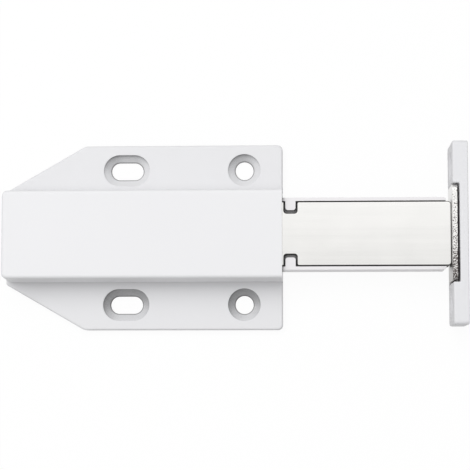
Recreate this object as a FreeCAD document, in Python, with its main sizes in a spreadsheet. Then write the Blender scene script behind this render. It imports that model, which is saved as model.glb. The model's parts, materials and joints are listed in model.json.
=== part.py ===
import FreeCAD, Part
import Sketcher
import math
import os
import re

# Magnetic push-to-open cupboard latch with its keeper, modelled with the plunger fully out.
# Origin: on the mounting face, midway between the two round screw holes beside the mouth.
# +X runs out of the mouth, +Z away from the mounting face, all lengths in millimetres.

SIZES = (
    ("house_length", 65.8, "mouth to rear edge"),
    ("flange_thick", 2.5, "flange plate"),
    ("mouth_x", 9.1, "round screw holes to the mouth"),
    ("chamfer_length", 18.75, "rear corners, along X"),
    ("rear_ledge", 0.45, "raised box to the rear ends of the chamfers, along Y"),
    ("front_corner_rad", 1.2, "flange corners beside the mouth"),
    ("chamfer_front_rad", 3.0, "front end of each chamfer"),
    ("chamfer_rear_rad", 0.8, "rear end of each chamfer"),
    ("flange_edge_rad", 0.5, "soft upper edge of the flange"),
    ("box_setback", 0.05, "foot of the raised box to the flange's rear edge"),
    ("box_draft", 0.43, "lean of the raised box's walls, over its height"),
    ("box_top_rad", 0.8, "long and rear edges of the roof"),
    ("box_rear_rad", 1.3, "upright rear corners of the raised box"),
    ("side_wall", 2.0, "raised box's wall at its foot"),
    ("rear_wall", 1.6, "wall behind the spring"),
    ("roof_thick", 1.4, "roof of the raised box"),
    ("sill_depth", 3.0, "bar under the mouth, along X"),
    ("hole_offset", 5.3, "raised box to the middles of the screw holes"),
    ("flange_margin", 5.95, "middles of the screw holes to the flange's edge"),
    ("hole_pitch", 28.0, "round holes to slots"),
    ("hole_dia", 4.3, "round screw holes"),
    ("slot_length", 7.6, "slots, end to end"),
    ("slot_width", 4.1, "slots"),
    ("sink_width", 1.7, "countersinks in the flange, hole to rim"),
    ("sink_rim", 0.6, "upright rim of each countersink"),
    ("sink_ledge", 0.1, "flat ledge between rim and cone"),
    ("post_dia", 3.2, "post that centres the spring"),
    ("post_length", 6.0, "post that centres the spring"),
    ("cover_thick", 1.8, "back cover"),
    ("cover_ledge", 0.5, "rebate that the cover drops into"),
    ("cover_gap", 0.1, "cover in its rebate"),
    ("nib_length", 4.0, "snap nibs on the cover's long edges"),
    ("nib_reach", 0.35, "snap nibs beyond the cover's edge"),
    ("nib_height", 0.6, "snap nibs"),
    ("nib_low", 0.7, "snap nibs above the mounting face"),
    ("nib_gap", 0.05, "snap nibs in their pockets"),
    ("nib_spacing", 40.0, "front pair of nibs to rear pair"),
    ("track_depth", 1.1, "follower track in the cover"),
    ("lane_width", 1.8, "follower track"),
    ("lane_start", 1.3, "follower's tip to the track's front end when fully out"),
    ("lane_end", 1.1, "follower's tip to the track's rear wall when fully in"),
    ("swing", 2.3, "sideways reach of the track's lanes"),
    ("junction", 20.1, "start of the track to where its lanes part"),
    ("lane_slant", 8.0, "length of the slanted part of the return lane"),
    ("island_rear", 2.9, "heart's rear end to the track's rear wall"),
    ("heart_notch", 1.3, "depth of the notch that holds the latch shut"),
    ("ridge", 1.2, "ridge that turns the follower to the return lane"),
    ("carrier_width", 16.8, "plunger carrier"),
    ("side_gap", 0.3, "carrier to the raised box's wall"),
    ("end_gap", 0.9, "carrier to the rear wall when fully in"),
    ("travel", 38.2, "fully out to fully in"),
    ("extension", 39.1, "mouth to the pole plates' far ends"),
    ("runner_gap", 0.2, "carrier's skirts to the cover"),
    ("skirt_height", 1.1, "skirts that run on the cover and stop at the sill"),
    ("skirt_thick", 0.8, "skirts"),
    ("stop_gap", 0.1, "skirts to the sill when fully out"),
    ("sill_gap", 0.3, "lower pole plate to the sill"),
    ("roof_gap", 0.3, "upper pole plate to the roof"),
    ("carrier_tip_rad", 0.7, "carrier's outer corners"),
    ("nose_wall", 2.0, "carrier's wall in front of the magnet"),
    ("tab_offset", 1.95, "mouth to the middle of the tabs"),
    ("tab_length", 2.4, "tabs that lock the pole plates"),
    ("tab_reach", 2.1, "tabs that lock the pole plates"),
    ("tab_rad", 0.6, "corners of the tabs and of the notches round them"),
    ("core_wall", 1.6, "walls round the cored-out pocket"),
    ("core_length", 16.5, "cored-out pocket between pivot and magnet"),
    ("plate_thick", 1.2, "pole plates"),
    ("plate_width", 14.9, "pole plates"),
    ("plate_proud", 0.1, "pole plates above the carrier's strips"),
    ("plate_overhang", 1.2, "pole plates beyond the carrier"),
    ("plate_inset", 6.0, "mouth to the pole plates' inner ends"),
    ("plate_corner_rad", 0.8, "pole plates' outer corners"),
    ("seat_gap", 0.15, "pole plate to its seat's sides"),
    ("notch_gap", 0.3, "tab to the notch's two sides"),
    ("notch_end_gap", 0.55, "tab's end to the bottom of the notch"),
    ("notch_rad", 0.5, "outer shoulder of each notch"),
    ("magnet_length", 12.8, "magnet"),
    ("magnet_width", 13.4, "magnet"),
    ("magnet_height", 5.4, "magnet, and the space between the pole plates"),
    ("magnet_gap", 0.1, "magnet in its window"),
    ("magnet_edge", 0.3, "bevel on the magnet's upright edges"),
    ("wire_dia", 1.0, "follower link"),
    ("link_length", 15.0, "follower link, pivot to tip"),
    ("pivot_inset", 8.0, "mouth to the link's pivot"),
    ("pivot_depth", 5.0, "pivot hole in the carrier"),
    ("pivot_gap", 0.06, "link in its pivot hole, all round"),
    ("pivot_wall", 2.1, "pivot's axis to the end of the spring's bore"),
    ("bend_rad", 0.9, "link's bends, at the wire's middle"),
    ("tip_gap", 0.2, "link's tip above the track's floor"),
    ("link_recess", 0.4, "relief over the link in the carrier"),
    ("spring_dia", 5.0, "return spring, outside"),
    ("spring_wire", 0.6, "return spring"),
    ("spring_turns", 8.0, "return spring"),
    ("spring_gap", 0.1, "return spring at each end"),
    ("bore_gap", 0.4, "return spring to its bore, all round"),
    ("keeper_margin", 5.2, "keeper's screw holes to its ends"),
    ("keeper_thick", 3.6, "keeper, back to front"),
    ("keeper_end_rad", 0.9, "keeper's four long corners"),
    ("keeper_edge_rad", 0.5, "keeper's front edge"),
    ("keeper_setback", 0.1, "keeper's front face behind the armature's"),
    ("keeper_hole_dia", 4.0, "keeper's screw holes"),
    ("keeper_sink", 1.6, "keeper's countersinks"),
    ("keeper_floor", 1.2, "under the armature"),
    ("armature_inset", 4.9, "keeper's screw holes to the armature's ends"),
    ("armature_thick", 1.2, "armature plate"),
    ("armature_top_gap", 0.2, "armature plate below the keeper's upper side"),
    ("armature_rad", 1.5, "armature plate's corners"),
    ("armature_gap", 0.1, "armature plate to the keeper's floor"),
    ("armature_side_gap", 0.3, "armature plate to the pocket's ends"),
    ("armature_float", 0.5, "free space behind the armature plate"),
    ("peg_dia", 2.8, "peg that holds the armature plate"),
    ("peg_gap", 0.2, "peg in the armature plate, all round"),
    ("peg_sink", 0.9, "countersink for the peg's head"),
)

document = FreeCAD.newDocument("cupboard_latch")
sheet = document.addObject("Spreadsheet::Sheet", "Sizes")
for row, (alias, value, meaning) in enumerate(SIZES, 1):
    sheet.set("A%d" % row, alias)
    sheet.set("B%d" % row, str(value))
    sheet.setAlias("B%d" % row, alias)
    sheet.set("C%d" % row, meaning)
document.recompute()
levels = document.addObject("Spreadsheet::Sheet", "Levels")
S = {alias: float(sheet.get(alias)) for alias, value, meaning in SIZES}

# Levels and lines that more than one piece shares, as expressions of the sizes.
REAR_X = "(mouth_x - house_length)"
CAVITY_REAR = "(mouth_x - house_length + rear_wall)"
SILL_REAR = "(mouth_x - sill_depth)"
PLATE_END = "(mouth_x + extension)"
PLATE_REAR = "(mouth_x - plate_inset)"
CARRIER_END = "(mouth_x + extension - plate_overhang)"
CARRIER_REAR = f"({CAVITY_REAR} + end_gap + travel)"
PIVOT_X = "(mouth_x - pivot_inset)"
TIP_X = "(mouth_x - pivot_inset - link_length)"
SPRING_SEAT = "(mouth_x - pivot_inset - pivot_wall)"
TAB_X = "(mouth_x + tab_offset)"

CAVITY_HALF = "(carrier_width / 2 + side_gap)"
BOX_HALF = "(carrier_width / 2 + side_gap + side_wall)"
SEAT_HALF = "(plate_width / 2 + seat_gap)"
HOLE_Y = "(carrier_width / 2 + side_gap + side_wall + hole_offset)"
FLANGE_HALF = f"({HOLE_Y} + flange_margin)"
CHAMFER_Y = f"({BOX_HALF} + rear_ledge)"
KEEPER_HALF = f"({HOLE_Y} + keeper_margin)"
ARMATURE_HALF = f"({HOLE_Y} - armature_inset)"

CARRIER_LOW = "(cover_thick + runner_gap + skirt_height)"
PLATE_LOW = f"({CARRIER_LOW} - plate_proud)"
WEB_LOW = f"({PLATE_LOW} + plate_thick)"
WEB_HIGH = f"({WEB_LOW} + magnet_height)"
PLATE_TOP = f"({WEB_HIGH} + plate_thick)"
CARRIER_TOP = f"({PLATE_TOP} - plate_proud)"
MID_Z = f"({WEB_LOW} + magnet_height / 2)"
ROOF_Z = f"({PLATE_TOP} + roof_gap)"
HOUSE_TOP = f"({ROOF_Z} + roof_thick)"
MOUTH_FLOOR = f"({PLATE_LOW} - sill_gap)"


def bound(text):
    """An expression of size names, as the document's objects read it."""
    return re.sub(r"[a-z]\w+\b(?!\()", lambda word: "Sizes." + word.group(0), text)


def plane_of(body, role):
    return [plane for plane in body.Origin.OriginFeatures if plane.Role == role][0]


def start_body(label):
    body = document.addObject("PartDesign::Body", label)
    body.Label = label
    return body


def sketch_on(body, name, role, level="0"):
    """An empty sketch parallel to one of the body's own origin planes."""
    sketch = body.newObject("Sketcher::SketchObject", body.Label + "_" + name)
    sketch.AttachmentSupport = [(plane_of(body, role), "")]
    sketch.MapMode = "FlatFace"
    sketch.setExpression("AttachmentOffset.Base.z", bound(level))
    return sketch


def tie_point(sketch, curve, end, across, up):
    """Ties one point of a curve to its two distances from the sketch's origin."""
    here = sketch.getPoint(curve, end)
    for kind, start, text in (("DistanceX", here.x, across), ("DistanceY", here.y, up)):
        constraint = sketch.addConstraint(Sketcher.Constraint(kind, -1, 1, curve, end, start))
        sketch.setExpression("Constraints[%d]" % constraint, bound(text))


def tie_radius(sketch, curve, text):
    constraint = sketch.addConstraint(Sketcher.Constraint("Radius", curve, 1.0))
    sketch.setExpression("Constraints[%d]" % constraint, bound(text))


def add_outline(sketch, corners):
    """A closed outline of straight lines through the given corners."""
    count = len(corners)
    reach = 10.0 + sketch.GeometryCount
    turn = 2.0 * math.pi / count
    start = [
        FreeCAD.Vector(reach * math.cos(turn * i), reach * math.sin(turn * i), 0)
        for i in range(count)
    ]
    lines = [
        sketch.addGeometry(Part.LineSegment(start[i], start[(i + 1) % count]), False)
        for i in range(count)
    ]
    for i in range(count):
        following = lines[(i + 1) % count]
        sketch.addConstraint(Sketcher.Constraint("Coincident", lines[i], 2, following, 1))
    for line, (across, up) in zip(lines, corners):
        tie_point(sketch, line, 1, across, up)


def add_rectangle(sketch, left, right, low, high):
    add_outline(sketch, ((left, low), (right, low), (right, high), (left, high)))


def add_circle(sketch, across, up, diameter):
    middle = FreeCAD.Vector(1, 1, 0)
    circle = sketch.addGeometry(Part.Circle(middle, FreeCAD.Vector(0, 0, 1), 1.0), False)
    tie_point(sketch, circle, 3, across, up)
    tie_radius(sketch, circle, diameter + " / 2")


def add_slot(sketch, across, up, length, width):
    """A round-ended slot along the sketch's first axis."""
    upright = FreeCAD.Vector(0, 0, 1)
    left = Part.Circle(FreeCAD.Vector(-2, 0, 0), upright, 1.0)
    right = Part.Circle(FreeCAD.Vector(2, 0, 0), upright, 1.0)
    quarter = math.pi / 2
    left_end = sketch.addGeometry(Part.ArcOfCircle(left, quarter, 3 * quarter), False)
    bottom = sketch.addGeometry(
        Part.LineSegment(FreeCAD.Vector(-2, -1, 0), FreeCAD.Vector(2, -1, 0)), False)
    right_end = sketch.addGeometry(Part.ArcOfCircle(right, -quarter, quarter), False)
    top = sketch.addGeometry(
        Part.LineSegment(FreeCAD.Vector(2, 1, 0), FreeCAD.Vector(-2, 1, 0)), False)
    loop = (left_end, bottom, right_end, top)
    for i in range(4):
        joint = Sketcher.Constraint("Tangent", loop[i], 2, loop[(i + 1) % 4], 1)
        sketch.addConstraint(joint)
    sketch.addConstraint(Sketcher.Constraint("Equal", left_end, right_end))
    half = f"({length} - {width}) / 2"
    tie_point(sketch, left_end, 3, f"{across} - {half}", up)
    tie_point(sketch, right_end, 3, f"{across} + {half}", up)
    tie_radius(sketch, left_end, width + " / 2")


def pad(body, sketch, length):
    feature = body.newObject("PartDesign::Pad", sketch.Name + "_pad")
    feature.Profile = sketch
    feature.setExpression("Length", bound(length))
    return feature


def cut(body, sketch, length, forward=False):
    """Cuts against the sketch's normal, or along it when forward is set."""
    document.recompute()
    before = body.Shape.Volume
    feature = body.newObject("PartDesign::Pocket", sketch.Name + "_cut")
    feature.Profile = sketch
    feature.Reversed = forward
    feature.setExpression("Length", bound(length))
    document.recompute()
    if body.Shape.Volume >= before:
        raise RuntimeError(feature.Name + " removes nothing")
    return feature


def dress(body, kind, name, size, chosen):
    """A fillet or a chamfer on the edges that chosen() picks from the body's last feature."""
    document.recompute()
    base = body.Tip
    edges = ["Edge%d" % i for i, edge in enumerate(base.Shape.Edges, 1) if chosen(edge)]
    if not edges:
        raise RuntimeError(name + " finds no edge")
    feature = body.newObject("PartDesign::" + kind, body.Label + "_" + name)
    feature.Base = (base, edges)
    feature.setExpression("Radius" if kind == "Fillet" else "Size", bound(size))
    return feature


def level(text):
    """The present value of an expression of size names."""
    levels.set("A1", "=" + bound(text))
    levels.recompute()
    return float(levels.get("A1"))


def near(first, second):
    return abs(first - second) < 0.01


def upright_at(across, side):
    """Picks upright edges at one X and one distance from the XZ plane."""
    def chosen(edge):
        box = edge.BoundBox
        is_upright = box.XLength < 0.01 and box.YLength < 0.01
        return is_upright and near(box.XMin, across) and near(abs(box.YMin), side)
    return chosen


def make_housing():
    """One moulding: flange with four screw holes, and a raised box that is open at the mouth."""
    body = start_body("housing")
    rear = level(REAR_X)
    top = level(HOUSE_TOP)
    mouth = S["mouth_x"]
    flange = sketch_on(body, "flange", "XY_Plane")
    add_outline(flange, (
        ("mouth_x", "-" + FLANGE_HALF),
        ("mouth_x", FLANGE_HALF),
        (REAR_X + " + chamfer_length", FLANGE_HALF),
        (REAR_X, CHAMFER_Y),
        (REAR_X, "-" + CHAMFER_Y),
        (REAR_X + " + chamfer_length", "-" + FLANGE_HALF),
    ))
    pad(body, flange, "flange_thick")
    half_now = level(FLANGE_HALF)
    dress(body, "Fillet", "front_corners", "front_corner_rad", upright_at(mouth, half_now))
    dress(body, "Fillet", "chamfer_front", "chamfer_front_rad",
          upright_at(rear + S["chamfer_length"], half_now))
    dress(body, "Fillet", "chamfer_rear", "chamfer_rear_rad",
          upright_at(rear, level(CHAMFER_Y)))

    def is_flange_rim(edge):
        box = edge.BoundBox
        return near(box.ZMin, S["flange_thick"]) and near(box.ZMax, S["flange_thick"])

    dress(body, "Fillet", "flange_rim", "flange_edge_rad", is_flange_rim)

    box = body.newObject("PartDesign::AdditiveWedge", "housing_box")
    box.AttachmentSupport = [(plane_of(body, "XZ_Plane"), "")]
    box.MapMode = "FlatFace"
    for name, text in (
        ("Xmin", REAR_X + " + box_setback"), ("Xmax", "mouth_x"),
        ("X2min", REAR_X + " + box_setback + box_draft"), ("X2max", "mouth_x"),
        ("Ymin", "flange_thick / 2"), ("Ymax", HOUSE_TOP),
        ("Zmin", "-" + BOX_HALF), ("Zmax", BOX_HALF),
        ("Z2min", f"box_draft - {BOX_HALF}"), ("Z2max", f"{BOX_HALF} - box_draft"),
    ):
        box.setExpression(name, bound(text))

    def is_rear_corner(edge):
        bounds = edge.BoundBox
        return near(bounds.ZMax, top) and bounds.ZLength > 2.0 and bounds.XMax < rear + 2.0

    dress(body, "Fillet", "rear_corners", "box_rear_rad", is_rear_corner)

    def is_roof_edge(edge):
        bounds = edge.BoundBox
        return near(bounds.ZMin, top) and near(bounds.ZMax, top) and bounds.XMin < mouth - 0.1

    dress(body, "Fillet", "roof_edges", "box_top_rad", is_roof_edge)

    cavity = sketch_on(body, "cavity", "XY_Plane")
    add_rectangle(cavity, CAVITY_REAR, SILL_REAR, "-" + CAVITY_HALF, CAVITY_HALF)
    cut(body, cavity, ROOF_Z, forward=True)
    mouth_cut = sketch_on(body, "mouth", "XY_Plane", MOUTH_FLOOR)
    add_rectangle(mouth_cut, SILL_REAR, "mouth_x + sill_depth", "-" + CAVITY_HALF, CAVITY_HALF)
    cut(body, mouth_cut, f"{ROOF_Z} - {MOUTH_FLOOR}", forward=True)
    rebate = sketch_on(body, "rebate", "XY_Plane")
    add_rectangle(rebate, CAVITY_REAR + " - cover_ledge", SILL_REAR + " + cover_ledge",
                  f"-{CAVITY_HALF} - cover_ledge", f"{CAVITY_HALF} + cover_ledge")
    cut(body, rebate, "cover_thick", forward=True)
    snaps = sketch_on(body, "snap_pockets", "XY_Plane", "nib_low - nib_gap")
    wall = f"({CAVITY_HALF} + cover_ledge)"
    for middle in nib_places():
        reach = "nib_length / 2 + nib_gap"
        for low, high in ((wall, wall + " + nib_reach"), (f"-{wall} - nib_reach", "-" + wall)):
            add_rectangle(snaps, f"{middle} - {reach}", f"{middle} + {reach}", low, high)
    cut(body, snaps, "nib_height + 2 * nib_gap", forward=True)

    rims = sketch_on(body, "sink_rims", "XY_Plane", "flange_thick")
    holes = sketch_on(body, "screw_holes", "XY_Plane")
    wider = "2 * sink_width"
    for side in (HOLE_Y, "-" + HOLE_Y):
        add_circle(rims, "0", side, f"(hole_dia + {wider})")
        add_slot(rims, "-hole_pitch", side, f"(slot_length + {wider})", f"(slot_width + {wider})")
        add_circle(holes, "0", side, "hole_dia")
        add_slot(holes, "-hole_pitch", side, "slot_length", "slot_width")
    cut(body, rims, "sink_rim")
    cut(body, holes, "flange_thick", forward=True)
    ledge = S["flange_thick"] - S["sink_rim"]
    hole_y = level(HOLE_Y)

    def is_hole_rim(edge):
        bounds = edge.BoundBox
        flat = near(bounds.ZMin, ledge) and near(bounds.ZMax, ledge)
        reach = max(abs(abs(bounds.YMin) - hole_y), abs(abs(bounds.YMax) - hole_y))
        return flat and reach < S["hole_dia"] / 2 + 0.01

    dress(body, "Chamfer", "countersinks", "sink_width - sink_ledge", is_hole_rim)

    post = sketch_on(body, "post", "YZ_Plane", CAVITY_REAR)
    add_circle(post, "0", MID_Z, "post_dia")
    pad(body, post, "post_length")
    return body


def nib_places():
    """The middles of the cover's snap nibs, along X."""
    middle = f"({CAVITY_REAR} + {SILL_REAR}) / 2"
    return (f"({middle} - nib_spacing / 2)", f"({middle} + nib_spacing / 2)")


def lane_y(x):
    """The middle of the slanted way in, as the link's tip runs along it."""
    return f"(swing * ({TIP_X} - ({x})) / travel)"


def make_back_cover():
    """Snap-in back with the follower track: a slanted way in, a heart and a way back."""
    body = start_body("back_cover")
    plate = sketch_on(body, "plate", "XY_Plane")
    side = f"({CAVITY_HALF} + cover_ledge - cover_gap)"
    add_rectangle(plate, CAVITY_REAR + " - cover_ledge + cover_gap",
                  SILL_REAR + " + cover_ledge - cover_gap", "-" + side, side)
    pad(body, plate, "cover_thick")
    nibs = sketch_on(body, "nibs", "XY_Plane", "nib_low")
    for middle in nib_places():
        reach = "nib_length / 2"
        for low, high in ((side, side + " + nib_reach"), (f"-{side} - nib_reach", "-" + side)):
            add_rectangle(nibs, f"{middle} - {reach}", f"{middle} + {reach}", low, high)
    pad(body, nibs, "nib_height")

    half = "lane_width / 2"
    front = f"({TIP_X} + lane_start)"
    rear = f"({TIP_X} - travel - lane_end)"
    fork = f"({TIP_X} - junction)"
    bend = f"({TIP_X} - junction - lane_slant)"
    outer = f"(-swing - {half})"
    inner = f"(-swing + {half})"
    fork_y = f"({lane_y(fork)} - {half})"
    slope = f"(({fork_y} - {outer}) / lane_slant)"
    # the heart's inner edges run one lane's width from the track's outer walls
    lift = f"(lane_width * sqrt(1 + {slope} * {slope}))"
    way_in = "(swing / travel)"
    tip_x = (f"(({fork_y} + {lift} - {slope} * {fork} - {way_in} * {TIP_X} + {half})"
             f" / (-{way_in} - {slope}))")
    tip_y = f"({lane_y(tip_x)} - {half})"
    corner_x = f"({fork} + ({inner} - {fork_y} - {lift}) / {slope})"
    heart_rear = f"({rear} + island_rear)"
    track = sketch_on(body, "track", "XY_Plane", "cover_thick")
    add_outline(track, (
        (front, "-" + half),
        (fork, fork_y),
        (bend, outer),
        (rear, outer),
        (rear, "swing / 4 - ridge"),
        (rear + " + ridge", "swing / 4"),
        (rear, "swing / 4 + ridge"),
        (rear, "swing + " + half),
        (front, half),
    ))
    add_outline(track, (
        (tip_x, tip_y),
        (corner_x, inner),
        (heart_rear, inner),
        (heart_rear, f"{inner} / 2"),
        (heart_rear + " + heart_notch", "0"),
        (heart_rear, f"{lane_y(heart_rear)} - {half}"),
    ))
    cut(body, track, "track_depth")
    return body


def tabbed_outline(sketch, far_end, rear, half, tab_half, reach):
    """The outline of a pole plate, or of its seat, with the two gaps for the carrier's tabs."""
    low_step = f"{reach} - {half}"
    high_step = f"{half} - {reach}"
    add_outline(sketch, (
        (rear, "-" + half),
        (f"{TAB_X} - {tab_half}", "-" + half),
        (f"{TAB_X} - {tab_half}", low_step),
        (f"{TAB_X} + {tab_half}", low_step),
        (f"{TAB_X} + {tab_half}", "-" + half),
        (far_end, "-" + half),
        (far_end, half),
        (f"{TAB_X} + {tab_half}", half),
        (f"{TAB_X} + {tab_half}", high_step),
        (f"{TAB_X} - {tab_half}", high_step),
        (f"{TAB_X} - {tab_half}", half),
        (rear, half),
    ))


def make_plunger_carrier():
    """The sliding moulding that holds the magnet, both pole plates, the spring and the link."""
    body = start_body("plunger_carrier")
    side = "carrier_width / 2"
    bar = sketch_on(body, "bar", "XY_Plane", CARRIER_LOW)
    add_rectangle(bar, CARRIER_REAR, CARRIER_END, "-" + side, side)
    pad(body, bar, f"{CARRIER_TOP} - {CARRIER_LOW}")
    dress(body, "Fillet", "tip_corners", "carrier_tip_rad",
          upright_at(level(CARRIER_END), S["carrier_width"] / 2))

    skirts = sketch_on(body, "skirts", "XY_Plane", "cover_thick + runner_gap")
    stop = SILL_REAR + " - stop_gap"
    add_rectangle(skirts, CARRIER_REAR, stop, side + " - skirt_thick", side)
    add_rectangle(skirts, CARRIER_REAR, stop, "-" + side, "skirt_thick - " + side)
    pad(body, skirts, "skirt_height")

    seat_far = CARRIER_END + " + plate_overhang"
    seat_rear = PLATE_REAR + " - seat_gap"
    for name, height, upward in (("upper_seat", CARRIER_TOP, False),
                                 ("lower_seat", CARRIER_LOW, True)):
        seat = sketch_on(body, name, "XY_Plane", height)
        tabbed_outline(seat, seat_far, seat_rear, SEAT_HALF, "tab_length / 2", "tab_reach")
        cut(body, seat, "plate_thick - plate_proud", forward=upward)

    def is_tab_corner(edge):
        box = edge.BoundBox
        is_upright = box.XLength < 0.01 and box.YLength < 0.01
        aside = near(abs(box.YMin), level(f"{SEAT_HALF} - tab_reach"))
        return is_upright and aside and abs(box.XMin - level(TAB_X)) < S["tab_length"]

    dress(body, "Fillet", "tab_corners", "tab_rad", is_tab_corner)

    window = sketch_on(body, "magnet_window", "XY_Plane", WEB_HIGH)
    window_front = CARRIER_END + " - nose_wall"
    window_side = "(magnet_width / 2 + magnet_gap)"
    add_rectangle(window, window_front + " - magnet_length - 2 * magnet_gap", window_front,
                  "-" + window_side, window_side)
    cut(body, window, "magnet_height")

    core = sketch_on(body, "core", "XY_Plane", WEB_LOW)
    core_rear = TAB_X + " + tab_length / 2 + core_wall"
    core_side = f"({SEAT_HALF} - core_wall)"
    add_rectangle(core, core_rear, core_rear + " + core_length", "-" + core_side, core_side)
    cut(body, core, "magnet_height - core_wall", forward=True)

    bore = sketch_on(body, "spring_bore", "YZ_Plane", CARRIER_REAR)
    add_circle(bore, "0", MID_Z, "(spring_dia + 2 * bore_gap)")
    cut(body, bore, f"{SPRING_SEAT} - {CARRIER_REAR}", forward=True)

    relief = sketch_on(body, "link_relief", "XY_Plane", CARRIER_LOW)
    narrow = "(wire_dia + pivot_gap)"
    wide = f"(wire_dia + swing * ({PIVOT_X} - {CARRIER_REAR}) / link_length)"
    add_outline(relief, (
        (PIVOT_X + " + wire_dia", "-" + narrow),
        (PIVOT_X + " + wire_dia", narrow),
        (CARRIER_REAR, wide),
        (CARRIER_REAR, "-" + wide),
    ))
    cut(body, relief, "link_recess", forward=True)
    pivot = sketch_on(body, "pivot", "XY_Plane", CARRIER_LOW)
    add_circle(pivot, PIVOT_X, "0", "(wire_dia + 2 * pivot_gap)")
    cut(body, pivot, "pivot_depth", forward=True)
    return body


def make_pole_plate(label, low):
    """A flat steel plate, notched at the mouth so that the carrier's tabs hold it endways."""
    body = start_body(label)
    half = "(plate_width / 2)"
    outline = sketch_on(body, "outline", "XY_Plane", low)
    tabbed_outline(outline, PLATE_END, PLATE_REAR, half, "(tab_length / 2 + notch_gap)",
                   "(tab_reach + notch_end_gap)")
    pad(body, outline, "plate_thick")
    side = S["plate_width"] / 2
    dress(body, "Fillet", "far_corners", "plate_corner_rad", upright_at(level(PLATE_END), side))
    shoulder = level(TAB_X) + S["tab_length"] / 2 + S["notch_gap"]
    dress(body, "Fillet", "shoulders", "notch_rad", upright_at(shoulder, side))
    for end in (-1, 1):
        corner = level(TAB_X) + end * (S["tab_length"] / 2 + S["notch_gap"])
        depth = side - S["tab_reach"] - S["notch_end_gap"]
        name = "notch_outer" if end > 0 else "notch_inner"
        dress(body, "Fillet", name, "tab_rad", upright_at(corner, depth))
    return body


def make_magnet():
    """The block magnet that stands between the two pole plates."""
    body = start_body("magnet")
    block = sketch_on(body, "block", "XY_Plane", WEB_LOW)
    front = f"({CARRIER_END} - nose_wall - magnet_gap)"
    half = "magnet_width / 2"
    add_rectangle(block, front + " - magnet_length", front, "-" + half, half)
    pad(body, block, "magnet_height")

    def is_upright(edge):
        return edge.BoundBox.XLength < 0.01 and edge.BoundBox.YLength < 0.01

    dress(body, "Chamfer", "edges", "magnet_edge", is_upright)
    return body


def make_follower_link():
    """A wire bent at both ends: one end turns in the carrier, the other runs in the track."""
    body = start_body("follower_link")
    path = sketch_on(body, "path", "XZ_Plane")
    run_z = f"({CARRIER_LOW} - wire_dia / 2)"
    tip_z = "(cover_thick - track_depth + tip_gap)"
    head_z = f"({CARRIER_LOW} + pivot_depth - tip_gap)"
    pivot = level(PIVOT_X)
    tip = level(TIP_X)
    run = level(run_z)
    bend = S["bend_rad"]
    point = FreeCAD.Vector
    facing = point(0, 0, 1)
    head = Part.LineSegment(point(pivot, level(head_z), 0), point(pivot, run + bend, 0))
    middle = Part.LineSegment(point(pivot - bend, run, 0), point(tip + bend, run, 0))
    foot = Part.LineSegment(point(tip, run - bend, 0), point(tip, level(tip_z), 0))
    first = Part.ArcOfCircle(
        Part.Circle(point(pivot - bend, run + bend, 0), facing, bend), -math.pi / 2, 0)
    second = Part.ArcOfCircle(
        Part.Circle(point(tip + bend, run - bend, 0), facing, bend), math.pi / 2, math.pi)
    head, first, middle, second, foot = [
        path.addGeometry(curve, False) for curve in (head, first, middle, second, foot)
    ]
    for one, end, other, start in ((head, 2, first, 2), (first, 1, middle, 1),
                                   (middle, 2, second, 1), (second, 2, foot, 1)):
        path.addConstraint(Sketcher.Constraint("Tangent", one, end, other, start))
    path.addConstraint(Sketcher.Constraint("Vertical", head))
    path.addConstraint(Sketcher.Constraint("Horizontal", middle))
    path.addConstraint(Sketcher.Constraint("Vertical", foot))
    tie_point(path, head, 1, PIVOT_X, head_z)
    tie_point(path, foot, 2, TIP_X, tip_z)
    height = path.addConstraint(Sketcher.Constraint("DistanceY", -1, 1, middle, 1, run))
    path.setExpression("Constraints[%d]" % height, bound(run_z))
    tie_radius(path, first, "bend_rad")
    tie_radius(path, second, "bend_rad")

    section = sketch_on(body, "section", "XY_Plane", head_z)
    add_circle(section, PIVOT_X, "0", "wire_dia")
    wire = body.newObject("PartDesign::AdditivePipe", "follower_link_wire")
    wire.Profile = section
    wire.Spine = (path, [])
    return body


def make_return_spring():
    """The compression spring, from the housing's rear wall to the end of the carrier's bore."""
    length = f"({SPRING_SEAT} - {CAVITY_REAR} - 2 * spring_gap)"
    helix = document.addObject("Part::Helix", "spring_line")
    helix.setExpression("Pitch", bound(f"{length} / spring_turns"))
    helix.setExpression("Height", bound(length))
    helix.setExpression("Radius", bound("(spring_dia - spring_wire) / 2"))
    section = document.addObject("Part::RegularPolygon", "spring_section")
    section.Polygon = 4
    section.setExpression("Circumradius", bound("spring_wire / 2"))
    section.setExpression("Placement.Base.x", bound("(spring_dia - spring_wire) / 2"))
    section.Placement.Rotation = FreeCAD.Rotation(FreeCAD.Vector(1, 0, 0), 90)
    coil = document.addObject("Part::Sweep", "spring_coil")
    coil.Sections = [section]
    coil.Spine = (helix, [])
    coil.Solid = True
    coil.Frenet = True
    room = document.addObject("Part::Cylinder", "spring_room")
    room.setExpression("Radius", bound("spring_dia"))
    room.setExpression("Height", bound(length))
    ground = document.addObject("Part::Common", "return_spring")
    ground.Label = "return_spring"
    ground.Base = coil
    ground.Tool = room
    ground.setExpression("Placement.Base.x", bound(f"{CAVITY_REAR} + spring_gap"))
    ground.setExpression("Placement.Base.z", bound(MID_Z))
    ground.Placement.Rotation = FreeCAD.Rotation(FreeCAD.Vector(0, 1, 0), 90)
    return ground


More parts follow.
